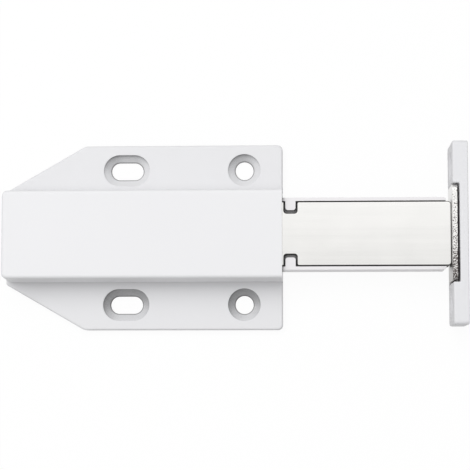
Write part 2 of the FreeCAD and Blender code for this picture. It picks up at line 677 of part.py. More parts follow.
def make_keeper_body():
    """The plastic keeper: two screw holes, and a pocket that is open in front and above."""
    body = start_body("keeper_body")
    front = f"({PLATE_END} + keeper_setback)"
    block = sketch_on(body, "block", "YZ_Plane", front)
    add_rectangle(block, "-" + KEEPER_HALF, KEEPER_HALF, "0", "2 * " + MID_Z)
    pad(body, block, "keeper_thick")
    front_now = level(front)

    def is_long_corner(edge):
        box = edge.BoundBox
        return box.YLength < 0.01 and box.ZLength < 0.01

    def is_front_edge(edge):
        return near(edge.BoundBox.XMin, front_now) and near(edge.BoundBox.XMax, front_now)

    dress(body, "Fillet", "long_corners", "keeper_end_rad", is_long_corner)
    dress(body, "Fillet", "front_edge", "keeper_edge_rad", is_front_edge)

    pocket = sketch_on(body, "pocket", "YZ_Plane", front)
    side = f"({ARMATURE_HALF} + armature_side_gap)"
    add_rectangle(pocket, "-" + side, side, "keeper_floor", f"2 * {MID_Z} + keeper_floor")
    cut(body, pocket, "armature_thick + armature_float - keeper_setback", forward=True)
    holes = sketch_on(body, "screw_holes", "YZ_Plane", front)
    for across in (HOLE_Y, "-" + HOLE_Y):
        add_circle(holes, across, MID_Z, "keeper_hole_dia")
    cut(body, holes, "keeper_thick", forward=True)

    def is_hole_rim(edge):
        box = edge.BoundBox
        aside = near(abs(box.Center.y), level(HOLE_Y))
        return aside and near(box.XMin, front_now) and near(box.XMax, front_now)

    dress(body, "Chamfer", "countersinks", "keeper_sink", is_hole_rim)

    peg = sketch_on(body, "peg", "YZ_Plane", PLATE_END + " + peg_sink")
    add_circle(peg, "0", MID_Z, "peg_dia")
    pad(body, peg, "armature_thick + armature_float - peg_sink")
    head_back = sketch_on(body, "peg_neck", "YZ_Plane", PLATE_END + " + peg_sink")
    add_circle(head_back, "0", MID_Z, "peg_dia")
    head_front = sketch_on(body, "peg_face", "YZ_Plane", PLATE_END + " + peg_gap")
    add_circle(head_front, "0", MID_Z, "(peg_dia + 2 * (peg_sink - peg_gap))")
    head = body.newObject("PartDesign::AdditiveLoft", "keeper_body_peg_head")
    head.Profile = head_back
    head.Sections = [head_front]
    return body


def make_armature_plate():
    """The loose steel plate that the magnet pulls on."""
    body = start_body("armature_plate")
    blank = sketch_on(body, "blank", "YZ_Plane", PLATE_END)
    add_rectangle(blank, "-" + ARMATURE_HALF, ARMATURE_HALF, "keeper_floor + armature_gap",
                  f"2 * {MID_Z} - armature_top_gap")
    pad(body, blank, "armature_thick")

    def is_corner(edge):
        return edge.BoundBox.YLength < 0.01 and edge.BoundBox.ZLength < 0.01

    dress(body, "Fillet", "corners", "armature_rad", is_corner)
    hole = sketch_on(body, "hole", "YZ_Plane", PLATE_END)
    add_circle(hole, "0", MID_Z, "(peg_dia + 2 * peg_gap)")
    cut(body, hole, "armature_thick", forward=True)
    front = level(PLATE_END)

    def is_front_rim(edge):
        box = edge.BoundBox
        return near(box.XMax, front) and near(box.Center.y, 0) and box.YLength < 5.0

    dress(body, "Chamfer", "peg_countersink", "peg_sink", is_front_rim)
    return body


nodes = [
    make_housing(),
    make_back_cover(),
    make_plunger_carrier(),
    make_pole_plate("upper_pole_plate", WEB_HIGH),
    make_pole_plate("lower_pole_plate", PLATE_LOW),
    make_magnet(),
    make_follower_link(),
    make_return_spring(),
    make_keeper_body(),
    make_armature_plate(),
]
document.recompute()

for item in document.Objects:
    if "Invalid" in item.State or "Error" in item.State:
        raise RuntimeError(item.Name + " failed")
for node in nodes:
    if node.Shape.isNull() or not node.Shape.isValid():
        raise RuntimeError(node.Label + " has no valid shape")

os.makedirs("parts", exist_ok=True)
for node in nodes:
    node.Shape.exportStep("parts/%s.step" % node.Label)
    print(node.Label, len(node.Shape.Solids), round(node.Shape.Volume, 1), node.Shape.BoundBox)
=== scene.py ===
# %% [markdown]
# A push-to-open cupboard latch, lesson in cells.
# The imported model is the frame: every piece is already at its real size and place.
# What Blender adds is the look of each piece: softened edges, moulded plastic, bright plated
# steel, a sheared steel edge, and light that shows them.

import json
import math

import bpy
from mathutils import Matrix, Vector

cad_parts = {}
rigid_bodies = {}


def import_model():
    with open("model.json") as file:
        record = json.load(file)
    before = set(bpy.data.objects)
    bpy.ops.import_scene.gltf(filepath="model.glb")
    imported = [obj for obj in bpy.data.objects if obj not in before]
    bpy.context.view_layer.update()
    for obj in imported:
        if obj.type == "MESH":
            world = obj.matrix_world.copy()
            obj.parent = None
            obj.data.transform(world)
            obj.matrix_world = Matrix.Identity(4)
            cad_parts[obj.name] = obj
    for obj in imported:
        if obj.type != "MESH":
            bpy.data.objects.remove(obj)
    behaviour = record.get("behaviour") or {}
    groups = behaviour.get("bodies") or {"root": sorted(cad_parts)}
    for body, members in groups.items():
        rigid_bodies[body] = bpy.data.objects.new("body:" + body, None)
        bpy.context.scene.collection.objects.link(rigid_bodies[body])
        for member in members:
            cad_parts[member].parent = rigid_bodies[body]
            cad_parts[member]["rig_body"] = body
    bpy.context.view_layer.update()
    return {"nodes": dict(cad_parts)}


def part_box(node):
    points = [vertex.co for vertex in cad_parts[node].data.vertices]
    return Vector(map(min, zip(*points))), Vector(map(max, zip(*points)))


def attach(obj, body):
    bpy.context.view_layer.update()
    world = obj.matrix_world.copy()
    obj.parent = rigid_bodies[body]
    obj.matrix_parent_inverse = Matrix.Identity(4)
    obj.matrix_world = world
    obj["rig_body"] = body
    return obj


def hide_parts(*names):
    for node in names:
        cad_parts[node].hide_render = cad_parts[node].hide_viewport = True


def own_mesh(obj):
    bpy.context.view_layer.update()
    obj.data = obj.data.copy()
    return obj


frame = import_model()
nodes = frame["nodes"]
MM = 0.001
print("nodes:", sorted(nodes))

# %% [markdown]
# What the frame can tell is asked of the frame: the room that the return spring fills. The
# flange's top is a step inside one piece, which the frame doesn't name, so its height is written
# down here once.

# %% Places on the latch
FLANGE_TOP = 2.5 * MM

spring_low, spring_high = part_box("return_spring")

# %% [markdown]
# The photograph was taken from nearly overhead. Upright edges in it all point at one place, the
# camera's foot, right below the lens. That place and the scale across the flange fix the camera:
# it stands 400 mm above the flange, a little in front of the latch, and looks at the middle of
# the picture. A lens that sees the 470 pixels across the flange at 4.22 pixels a millimetre is
# about 130 mm long on a 36 mm sensor.

# %% Camera
PICTURE_PX = 470
PX_PER_MM = 4.22
CAMERA_HEIGHT = 400 * MM
CAMERA_FOOT = Vector((16.1, -36.0, 0)) * MM
AIM = Vector((-2.2, 0.5, 2.5)) * MM
SENSOR = 36.0
NEAREST_SEEN = 0.01

camera_place = CAMERA_FOOT + Vector((0, 0, FLANGE_TOP + CAMERA_HEIGHT))
backward = (camera_place - AIM).normalized()
rightward = Vector((0, 1, 0)).cross(backward).normalized()
upward = backward.cross(rightward)
camera_data = bpy.data.cameras.new("overhead_camera")
camera = bpy.data.objects.new("overhead_camera", camera_data)
bpy.context.scene.collection.objects.link(camera)
camera.matrix_world = Matrix.Translation(camera_place) @ Matrix(
    (rightward, upward, backward)).transposed().to_4x4()
camera_data.sensor_width = SENSOR
aim_distance = (camera_place - AIM).length
camera_data.lens = PX_PER_MM / PICTURE_PX * SENSOR * aim_distance / MM
camera_data.clip_start = NEAREST_SEEN
bpy.context.scene.camera = camera
print("lens", round(camera_data.lens, 1), "mm")

# %% [markdown]
# A material is a tree of nodes, and a few steps come back in every tree. Each helper adds one
# node and returns its result, so a finish reads like a recipe later on. A Mix node has sockets
# for numbers and for colours under the same names, so they are picked by their number: its two
# sides first, and then its result.

# %% Helpers for shader trees
MIX_SOCKETS = {"FLOAT": (2, 3, 0), "RGBA": (6, 7, 2)}


def new_material(name):
    """An empty node material, its nodes and a function that joins two sockets."""
    material = bpy.data.materials.new(name)
    material.use_nodes = True
    tree = material.node_tree
    tree.nodes.clear()
    return material, tree.nodes, tree.links.new


def feed(link, socket, side):
    """Gives a socket what another socket puts out, or else a number or a colour."""
    if isinstance(side, bpy.types.NodeSocket):
        link(side, socket)
    else:
        socket.default_value = side


def add_math(tree_nodes, link, operation, first, second):
    """A maths node; each of its two sides is a socket or a number."""
    step = tree_nodes.new("ShaderNodeMath")
    step.operation = operation
    feed(link, step.inputs[0], first)
    feed(link, step.inputs[1], second)
    return step.outputs[0]


def add_range(tree_nodes, link, value, span, results):
    """Maps a span of values to a span of results."""
    mapped = tree_nodes.new("ShaderNodeMapRange")
    for title, number in zip(("From Min", "From Max", "To Min", "To Max"), span + results):
        mapped.inputs[title].default_value = number
    link(value, mapped.inputs["Value"])
    return mapped.outputs[0]


def add_mix(tree_nodes, link, kind, factor, first, second):
    """Something between two numbers or two colours, each of them a socket or a fixed value."""
    mix = tree_nodes.new("ShaderNodeMix")
    mix.data_type = kind
    low, high, result = MIX_SOCKETS[kind]
    link(factor, mix.inputs[0])
    feed(link, mix.inputs[low], first)
    feed(link, mix.inputs[high], second)
    return mix.outputs[result]


print("kinds of mix:", sorted(MIX_SOCKETS))

# %% [markdown]
# A product picture on white. The floor could be left out and the world made white, but then the
# latch would float. So the floor is a real surface that throws a little light back on the latch
# and takes its shadow. To the lens it also glows, so that it reads as white paper with only a
# trace of that shadow.

# %% Paper floor
WHITE = (1.0, 1.0, 1.0, 1.0)
FLOOR_HALF = 3.0
FLOOR_DROP = 0.02 * MM
PAPER_GLOW = 0.93
PAPER_LIGHT = 0.4
PAPER_BOUNCE = (PAPER_LIGHT, PAPER_LIGHT, PAPER_LIGHT, 1.0)


def seen_directly(tree_nodes, link):
    """1 for camera, glossy and transmission rays, 0 for the light that falls on things."""
    path = tree_nodes.new("ShaderNodeLightPath")
    either = add_math(tree_nodes, link, "MAXIMUM", path.outputs["Is Camera Ray"],
                      path.outputs["Is Glossy Ray"])
    return add_math(tree_nodes, link, "MAXIMUM", either, path.outputs["Is Transmission Ray"])


paper, paper_nodes, paper_link = new_material("white_paper")
paper_path = paper_nodes.new("ShaderNodeLightPath")
paper_colour = add_mix(paper_nodes, paper_link, "RGBA", paper_path.outputs["Is Camera Ray"],
                       PAPER_BOUNCE, WHITE)
paper_share = add_math(paper_nodes, paper_link, "MULTIPLY",
                       seen_directly(paper_nodes, paper_link), PAPER_GLOW)
paper_diffuse = paper_nodes.new("ShaderNodeBsdfDiffuse")
paper_glow = paper_nodes.new("ShaderNodeEmission")
paper_glow.inputs["Color"].default_value = WHITE
paper_mix = paper_nodes.new("ShaderNodeMixShader")
paper_out = paper_nodes.new("ShaderNodeOutputMaterial")
paper_link(paper_colour, paper_diffuse.inputs["Color"])
paper_link(paper_share, paper_mix.inputs["Fac"])
paper_link(paper_diffuse.outputs[0], paper_mix.inputs[1])
paper_link(paper_glow.outputs[0], paper_mix.inputs[2])
paper_link(paper_mix.outputs[0], paper_out.inputs["Surface"])

bpy.ops.object.select_all(action="DESELECT")
bpy.ops.mesh.primitive_plane_add(size=2 * FLOOR_HALF, location=(0, 0, -FLOOR_DROP))
floor = bpy.context.object
floor.name = "paper_floor"
floor.data.materials.append(paper)
print("floor", 2 * FLOOR_HALF, "m wide")

# %% [markdown]
# Pale light comes from all round and falls off towards the horizon, which draws every upright
# edge as a thin grey line. Polished steel mirrors what stands round it, so for reflections alone
# the surround has a lighter and a darker half with a soft border between them, as strip steel
# shows it under a diffuser. The lens itself sees plain white.

# %% Surround
ZENITH = 0.66
HORIZON = 0.45
GLOSSY_LIGHT = 1.24
GLOSSY_DARK = 0.74
GLOSSY_HORIZON = 0.55
GLOSSY_FULL = 0.8
BORDER = (0.03, 0.16)

world = bpy.data.worlds.new("surround")
bpy.context.scene.world = world
world.use_nodes = True
world_nodes = world.node_tree.nodes
world_link = world.node_tree.links.new
world_nodes.clear()
direction = world_nodes.new("ShaderNodeTexCoord")
compass = world_nodes.new("ShaderNodeSeparateXYZ")
world_link(direction.outputs["Generated"], compass.inputs[0])
world_path = world_nodes.new("ShaderNodeLightPath")
soft_level = add_range(world_nodes, world_link, compass.outputs["Z"], (0.0, 1.0),
                       (HORIZON, ZENITH))
glossy_side = add_range(world_nodes, world_link, compass.outputs["Y"], BORDER,
                        (GLOSSY_DARK, GLOSSY_LIGHT))
glossy_fall = add_range(world_nodes, world_link, compass.outputs["Z"], (0.0, GLOSSY_FULL),
                        (GLOSSY_HORIZON, 1.0))
glossy_level = add_math(world_nodes, world_link, "MULTIPLY", glossy_side, glossy_fall)
level = add_mix(world_nodes, world_link, "FLOAT", world_path.outputs["Is Glossy Ray"],
                soft_level, glossy_level)
surround = world_nodes.new("ShaderNodeBackground")
surround.inputs["Color"].default_value = WHITE
backdrop = world_nodes.new("ShaderNodeBackground")
backdrop.inputs["Color"].default_value = WHITE
world_mix = world_nodes.new("ShaderNodeMixShader")
world_out = world_nodes.new("ShaderNodeOutputWorld")
world_link(level, surround.inputs["Strength"])
world_link(world_path.outputs["Is Camera Ray"], world_mix.inputs["Fac"])
world_link(surround.outputs[0], world_mix.inputs[1])
world_link(backdrop.outputs[0], world_mix.inputs[2])
world_link(world_mix.outputs[0], world_out.inputs["Surface"])
print("surround", HORIZON, "at the horizon,", ZENITH, "overhead")

# %% [markdown]
# One large soft lamp hangs well above the latch, towards the upper left of the picture. The side
# of the raised box that shows, at the bottom of the picture, turns away from it and lies in soft
# shade, and so does the flange along its foot. The steel doesn't mirror the lamp, because a
# bright rectangle on the plate would hide the soft border.

# %% Lamp
KEY_PLACE = Vector((-180, 200, 680)) * MM
KEY_SIZE = (0.6, 0.5)
KEY_WATTS = 2.6

key_data = bpy.data.lights.new("soft_lamp", "AREA")
key_data.shape = "RECTANGLE"
key_data.size, key_data.size_y = KEY_SIZE
key_data.energy = KEY_WATTS
key = bpy.data.objects.new("soft_lamp", key_data)
bpy.context.scene.collection.objects.link(key)
key.location = KEY_PLACE
key.rotation_euler = KEY_PLACE.to_track_quat("Z", "Y").to_euler()
key.visible_glossy = False

scene = bpy.context.scene
scene.view_settings.view_transform = "Standard"
print("lamp", round(KEY_PLACE.length, 2), "m away,", KEY_WATTS, "W")

# %% [markdown]
# Effects that more than one material needs are node groups. The first is the skin of a moulding:
# the tool's fine spark-eroded grain, and the slow unevenness of plastic that shrank as it cooled.
# Both could be painted, but noise in the object's own coordinates has no seams and fits every
# moulding. The group gives a height for the bump, a roughness and a tone either side of 1.

# %% Group: moulded skin
NOISE_MIDDLE = 0.5
FLOW_SCALE = 55.0
GRAIN_DETAIL = 3.0
FLOW_DETAIL = 2.0
SKIN_ROUGH_SHARE = 0.25
SKIN_TONE_SHARE = 0.02


def start_group(name, inputs, outputs):
    """An empty node group with float inputs, each with its usual value, and float outputs."""
    group = bpy.data.node_groups.new(name, "ShaderNodeTree")
    for title, usual in inputs:
        socket = group.interface.new_socket(title, in_out="INPUT", socket_type="NodeSocketFloat")
        socket.default_value = usual
    for title in outputs:
        group.interface.new_socket(title, in_out="OUTPUT", socket_type="NodeSocketFloat")
    entry = group.nodes.new("NodeGroupInput")
    leave = group.nodes.new("NodeGroupOutput")
    return group, group.nodes, group.links.new, entry, leave


def add_noise(tree_nodes, link, scale, detail, stretch=(1.0, 1.0, 1.0)):
    """Noise in the object's own coordinates, stretched along an axis where that is asked."""
    place = tree_nodes.new("ShaderNodeTexCoord")
    mapping = tree_nodes.new("ShaderNodeMapping")
    mapping.inputs["Scale"].default_value = stretch
    noise = tree_nodes.new("ShaderNodeTexNoise")
    noise.inputs["Detail"].default_value = detail
    feed(link, noise.inputs["Scale"], scale)
    link(place.outputs["Object"], mapping.inputs["Vector"])
    link(mapping.outputs["Vector"], noise.inputs["Vector"])
    return noise.outputs["Fac"]


def swing(tree_nodes, link, noise, share, centre):
    """A share of a noise, either side of a centre."""
    shift = add_math(tree_nodes, link, "SUBTRACT", noise, NOISE_MIDDLE)
    part = add_math(tree_nodes, link, "MULTIPLY", shift, share)
    return add_math(tree_nodes, link, "ADD", part, centre)


skin, skin_nodes, skin_link, skin_in, skin_out = start_group(
    "moulded_skin",
    (("Grain Scale", 4200.0), ("Grain", 0.5), ("Flow", 0.5), ("Base Roughness", 0.4)),
    ("Height", "Roughness", "Tone"))
grain = add_noise(skin_nodes, skin_link, skin_in.outputs["Grain Scale"], GRAIN_DETAIL)
flow = add_noise(skin_nodes, skin_link, FLOW_SCALE, FLOW_DETAIL)
grain_height = add_math(skin_nodes, skin_link, "MULTIPLY", grain, skin_in.outputs["Grain"])
flow_height = add_math(skin_nodes, skin_link, "MULTIPLY", flow, skin_in.outputs["Flow"])
skin_link(add_math(skin_nodes, skin_link, "ADD", grain_height, flow_height),
          skin_out.inputs["Height"])
skin_link(swing(skin_nodes, skin_link, grain, SKIN_ROUGH_SHARE,
                skin_in.outputs["Base Roughness"]), skin_out.inputs["Roughness"])
skin_link(swing(skin_nodes, skin_link, flow, SKIN_TONE_SHARE, 1.0), skin_out.inputs["Tone"])
print("group:", skin.name)

# %% [markdown]
# The second group is rolled and plated strip: faint lines along the rolling direction, and cloudy
# patches where the plating is a little duller. Noise that is stretched fifty times along X draws
# the lines, and plain noise draws the clouds.

# %% Group: rolled strip
ALONG_STRIP = (0.02, 1.0, 1.0)
LINE_DETAIL = 4.0
CLOUD_DETAIL = 3.0
STRIP_TONE_SHARE = 0.08

rolled, rolled_nodes, rolled_link, rolled_in, rolled_out = start_group(
    "rolled_strip",
    (("Line Scale", 900.0), ("Line Depth", 0.5), ("Cloud Scale", 140.0),
     ("Base Roughness", 0.2), ("Cloud", 0.1)),
    ("Height", "Roughness", "Tone"))
lines = add_noise(rolled_nodes, rolled_link, rolled_in.outputs["Line Scale"], LINE_DETAIL,
                  ALONG_STRIP)
clouds = add_noise(rolled_nodes, rolled_link, rolled_in.outputs["Cloud Scale"], CLOUD_DETAIL)
rolled_link(add_math(rolled_nodes, rolled_link, "MULTIPLY", lines,
                     rolled_in.outputs["Line Depth"]), rolled_out.inputs["Height"])
rolled_link(swing(rolled_nodes, rolled_link, clouds, rolled_in.outputs["Cloud"],
                  rolled_in.outputs["Base Roughness"]), rolled_out.inputs["Roughness"])
line_tone = swing(rolled_nodes, rolled_link, lines, STRIP_TONE_SHARE, 1.0)
rolled_link(swing(rolled_nodes, rolled_link, clouds, STRIP_TONE_SHARE, line_tone),
            rolled_out.inputs["Tone"])
print("group:", rolled.name)

# %% [markdown]
# The third group is the torn edge of punched steel. The punch shears part of the thickness
# bright and tears the rest, so the edge is a mottle of bright and dark grains. Strong contrast
# and a clamp turn soft noise into such grains.

# %% Group: punched edge
MOTTLE_DETAIL = 2.5
MOTTLE_SPREAD = 5.0

punched, punched_nodes, punched_link, punched_in, punched_out = start_group(
    "punched_edge",
    (("Grain Scale", 3400.0), ("Contrast", 1.5), ("Bright Share", 0.5)),
    ("Mottle", "Height"))
coarse = add_noise(punched_nodes, punched_link, punched_in.outputs["Grain Scale"],
                   MOTTLE_DETAIL)
mottle_share = add_math(punched_nodes, punched_link, "MULTIPLY",
                        punched_in.outputs["Contrast"], MOTTLE_SPREAD)
clamped = punched_nodes.new("ShaderNodeClamp")
punched_link(swing(punched_nodes, punched_link, coarse, mottle_share,
                   punched_in.outputs["Bright Share"]), clamped.inputs["Value"])
punched_link(clamped.outputs[0], punched_out.inputs["Mottle"])
punched_link(coarse, punched_out.inputs["Height"])
print("group:", punched.name)

# %% [markdown]
# Every finish on the latch starts with one Principled shader and the marks of a node group: the
# marks change its colour a little, set its roughness and give it a shallow bump. That common start
# is made here once, and a finish adds what it has of its own.

# %% Helpers for finishes
GRAIN_DEPTH = 0.004 * MM


def add_group(tree_nodes, group, **values):
    """Places a node group in a material and sets its values."""
    placed = tree_nodes.new("ShaderNodeGroup")
    placed.node_tree = group
    for title, value in values.items():
        placed.inputs[title.replace("_", " ")].default_value = value
    return placed


def start_finish(name, group, **values):
    """A material with one shader, which is joined to its output, and a node group's marks."""
    material, tree_nodes, link = new_material(name)
    surface = tree_nodes.new("ShaderNodeBsdfPrincipled")
    out = tree_nodes.new("ShaderNodeOutputMaterial")
    link(surface.outputs[0], out.inputs["Surface"])
    return material, tree_nodes, link, surface, add_group(tree_nodes, group, **values)


def tone_colour(tree_nodes, link, tone, colour):
    """A colour that a tone near 1 makes a little lighter or darker."""
    mix = tree_nodes.new("ShaderNodeVectorMath")
    mix.operation = "SCALE"
    mix.inputs[0].default_value = colour
    link(tone, mix.inputs["Scale"])
    return mix.outputs[0]


def add_bump(tree_nodes, link, height, distance, shader):
    """A bump of a real depth, in metres, on a shader."""
    bump = tree_nodes.new("ShaderNodeBump")
    bump.inputs["Distance"].default_value = distance
    link(height, bump.inputs["Height"])
    link(bump.outputs["Normal"], shader.inputs["Normal"])


def own_place(tree_nodes, link):
    """Where a point lies in the piece's own X, Y and Z."""
    place = tree_nodes.new("ShaderNodeTexCoord")
    parts = tree_nodes.new("ShaderNodeSeparateXYZ")
    link(place.outputs["Object"], parts.inputs[0])
    return parts.outputs


print("bump depth", GRAIN_DEPTH / MM, "mm")

# %% [markdown]
# In the flange's countersinks the slope that turns away from the lamp looks dark, and each hole
# has a thin dark line round it. A soft lamp alone loses most of that, so both are painted shade in
# the plastic's colour. An occlusion node whose normal leans towards the lamp measures how much of
# that side is blocked, and a range on the height finds the edge of the hole, where a painted shade
# line goes. Both count only below the flange's top, and only on what faces up.

# %% Painted shade in the countersinks
OCCLUSION_SAMPLES = 8
SHADE_SIDE = (-0.2, 0.8, 0.56)
SHADE_REACH = 14.0 * MM
SHADE_SPAN = (0.03, 0.38)
SHADE_TONE = 0.03
RIM_SHADE_SPAN = (0.3 * MM, 0.6 * MM)
RIM_SHADE_TONE = 0.1
UPWARD_SPAN = (0.1, 0.45)
BELOW_TOP_SPAN = (FLANGE_TOP - 0.25 * MM, FLANGE_TOP - 0.03 * MM)


def add_sink_shade(tree_nodes, link, height):
    """Below the flange's top: painted shade where it turns from the lamp, and round a hole."""
    lamp_side = tree_nodes.new("ShaderNodeCombineXYZ")
    for axis, share in zip("XYZ", SHADE_SIDE):
        lamp_side.inputs[axis].default_value = share
    blocked = tree_nodes.new("ShaderNodeAmbientOcclusion")
    blocked.only_local = True
    blocked.samples = OCCLUSION_SAMPLES
    blocked.inputs["Distance"].default_value = SHADE_REACH
    link(lamp_side.outputs[0], blocked.inputs["Normal"])
    # Painted shade where the lamp's side is blocked.
    shade = add_range(tree_nodes, link, blocked.outputs["AO"], SHADE_SPAN, (SHADE_TONE, 1.0))
    # Painted shade line round the foot of each hole.
    rim_shade = add_range(tree_nodes, link, height, RIM_SHADE_SPAN, (RIM_SHADE_TONE, 1.0))
    both = add_math(tree_nodes, link, "MULTIPLY", shade, rim_shade)
    geometry = tree_nodes.new("ShaderNodeNewGeometry")
    turned = tree_nodes.new("ShaderNodeSeparateXYZ")
    link(geometry.outputs["Normal"], turned.inputs[0])
    upward_part = add_range(tree_nodes, link, turned.outputs["Z"], UPWARD_SPAN, (0.0, 1.0))
    below = add_range(tree_nodes, link, height, BELOW_TOP_SPAN, (1.0, 0.0))
    where = add_math(tree_nodes, link, "MULTIPLY", upward_part, below)
    return add_mix(tree_nodes, link, "FLOAT", where, 1.0, both)


print("shade down to", round((FLANGE_TOP - RIM_SHADE_SPAN[0]) / MM, 2), "mm below the flange's top")

# %% [markdown]
# White moulded plastic is nearly matt with a faint sheen. Its colour is a cool white, written at
# the value that it shows in the picture. Up to the flange's top the plastic is painted a touch
# greyer than on the raised box, as painted shade, which a range on the height gives. Crevices get
# a little painted shade, which occlusion gives. On the carrier it sees the other pieces too and is
# far stronger, as painted shade that makes the slits round the steel plate almost black.

# %% Finish: moulded plastic
PLASTIC_IOR = 1.49
CREVICE_REACH = 2.5 * MM
CREVICE_SPAN = (0.3, 0.95)
CREVICE_SHADE_TONE = 0.8
GAP_SHADE_REACH = 0.9 * MM
GAP_SHADE_TONE = 0.04
FLANGE_SHADE_FADE = 1.0 * MM
FLANGE_SHADE_TONE = 0.94


def make_plastic(name, colour, grain, roughness, flange_shade_tone=1.0, gap_shade_tone=None):
    """A satin moulding with painted shade in crevices, on the flange or in slits if asked."""
    material, tree_nodes, link, surface, marks = start_finish(
        name, skin, Grain=grain, Base_Roughness=roughness)
    surface.inputs["IOR"].default_value = PLASTIC_IOR
    # Painted shade in crevices, from occlusion; on the carrier also in the slits beside other
    # pieces.
    crevice_shade = tree_nodes.new("ShaderNodeAmbientOcclusion")
    crevice_shade.only_local = gap_shade_tone is None
    crevice_shade.samples = OCCLUSION_SAMPLES
    crevice_shade.inputs["Distance"].default_value = CREVICE_REACH if gap_shade_tone is None else GAP_SHADE_REACH
    depth = add_range(tree_nodes, link, crevice_shade.outputs["AO"], CREVICE_SPAN,
                      (gap_shade_tone or CREVICE_SHADE_TONE, 1.0))
    tone = add_math(tree_nodes, link, "MULTIPLY", marks.outputs["Tone"], depth)
    if flange_shade_tone < 1.0:
        height = own_place(tree_nodes, link)["Z"]
        # Painted shade: the plastic is a touch greyer up to the flange's top.
        flange_shade = add_range(tree_nodes, link, height, (FLANGE_TOP, FLANGE_TOP + FLANGE_SHADE_FADE),
                         (flange_shade_tone, 1.0))
        tone = add_math(tree_nodes, link, "MULTIPLY", tone, flange_shade)
        shade = add_sink_shade(tree_nodes, link, height)
        tone = add_math(tree_nodes, link, "MULTIPLY", tone, shade)
    link(tone_colour(tree_nodes, link, tone, colour), surface.inputs["Base Color"])
    link(marks.outputs["Roughness"], surface.inputs["Roughness"])
    add_bump(tree_nodes, link, marks.outputs["Height"], GRAIN_DEPTH, surface)
    return material


white_plastic = make_plastic("white_plastic", colour=(0.87, 0.87, 0.885), grain=0.5,
                             roughness=0.42, flange_shade_tone=FLANGE_SHADE_TONE)
cover_plastic = make_plastic("cover_plastic", colour=(0.86, 0.86, 0.875), grain=0.7,
                             roughness=0.5)
keeper_plastic = make_plastic("keeper_plastic", colour=(0.82, 0.82, 0.84), grain=0.5,
                              roughness=0.45)
# The carrier's slits round the steel plate get strong painted shade.
carrier_plastic = make_plastic("carrier_plastic", colour=(0.87, 0.855, 0.87), grain=0.4,
                               roughness=0.35, gap_shade_tone=GAP_SHADE_TONE)
print("plastics:", white_plastic.name, cover_plastic.name, keeper_plastic.name,
      carrier_plastic.name)

# %% [markdown]
# The pole plate is steel strip with bright nickel on it. It mirrors the pale surround softly,
# which is why its upper half is lighter than its lower half. Its cut edges are near black: partly
# the duller cut steel, partly painted shade of the slits round the plate.
# The armature is punched from plainer strip and its edges are a mottle. Its colour is painted
# darker towards its -Y end and its edge mottle brighter towards +Y, a painted reflection of the
# surround's darker and lighter halves. One material serves a whole plate: the direction that a
# face looks in tells the rolled face from the cut edge, so no faces have to be picked by hand.

# %% Finish: plated and punched steel
EDGE_SPAN = (0.9, 0.99)
EDGE_ROUGHNESS = 0.4
PAINTED_REFLECTION_SPAN = (-11 * MM, 8 * MM)
REFLECTION_BRIGHT_SHARES = (0.0, 1.4)


def edge_mask(tree_nodes, link, sheet_axis):
    """1 on faces that stand across the sheet, 0 on its two flat faces."""
    geometry = tree_nodes.new("ShaderNodeNewGeometry")
    to_object = tree_nodes.new("ShaderNodeVectorTransform")
    to_object.vector_type = "NORMAL"
    to_object.convert_from = "WORLD"
    to_object.convert_to = "OBJECT"
    apart = tree_nodes.new("ShaderNodeSeparateXYZ")
    link(geometry.outputs["Normal"], to_object.inputs[0])
    link(to_object.outputs[0], apart.inputs[0])
    size = tree_nodes.new("ShaderNodeMath")
    size.operation = "ABSOLUTE"
    link(apart.outputs[sheet_axis], size.inputs[0])
    return add_range(tree_nodes, link, size.outputs[0], EDGE_SPAN, (1.0, 0.0))


def make_steel(name, face, edge_dark, edge_bright, sheet_axis, roughness, painted_dark_end=None):
    """Rolled strip, bright faces, punched edge; a painted reflection darkens its -Y end if asked.
    """
    material, tree_nodes, link, surface, strip = start_finish(
        name, rolled, Base_Roughness=roughness)
    surface.inputs["Metallic"].default_value = 1.0
    torn = add_group(tree_nodes, punched)
    bright = tone_colour(tree_nodes, link, strip.outputs["Tone"], face)
    if painted_dark_end is not None:
        # Painted reflection: darker towards -Y, a brighter edge mottle towards +Y.
        across = own_place(tree_nodes, link)["Y"]
        link(add_range(tree_nodes, link, across, PAINTED_REFLECTION_SPAN, REFLECTION_BRIGHT_SHARES),
             torn.inputs["Bright Share"])
        reflection_share = add_range(tree_nodes, link, across, PAINTED_REFLECTION_SPAN, (0.0, 1.0))
        bright = add_mix(tree_nodes, link, "RGBA", reflection_share, painted_dark_end, bright)
    mask = edge_mask(tree_nodes, link, sheet_axis)
    mottled = add_mix(tree_nodes, link, "RGBA", torn.outputs["Mottle"], edge_dark, edge_bright)
    link(add_mix(tree_nodes, link, "RGBA", mask, bright, mottled), surface.inputs["Base Color"])
    link(add_mix(tree_nodes, link, "FLOAT", mask, strip.outputs["Roughness"], EDGE_ROUGHNESS),
         surface.inputs["Roughness"])
    relief = add_mix(tree_nodes, link, "FLOAT", mask, strip.outputs["Height"],
                     torn.outputs["Height"])
    add_bump(tree_nodes, link, relief, GRAIN_DEPTH, surface)
    return material


# The plate's near-black edges are partly painted shade of the slits round it.
plated_steel = make_steel("plated_steel", face=(0.9, 0.893, 0.875),
                          edge_dark=(0.01, 0.009, 0.008, 1.0),
                          edge_bright=(0.1, 0.095, 0.09, 1.0), sheet_axis="Z", roughness=0.14)
armature_steel = make_steel("armature_steel", face=(0.85, 0.84, 0.83),
                            edge_dark=(0.1, 0.085, 0.08, 1.0),
                            edge_bright=(1.0, 0.99, 0.97, 1.0), sheet_axis="X",
                            roughness=0.3, painted_dark_end=(0.35, 0.34, 0.33, 1.0))
print("steels:", plated_steel.name, armature_steel.name)

# %% [markdown]
# Two finishes are hidden in a closed latch and show only in an open one: the ground black ferrite
# of the magnet, and the drawn wire of the spring and of the link. The groups for skin and strip
# serve again, with other values: ferrite is coarser and rougher than plastic, and wire is duller
# than plated strip.

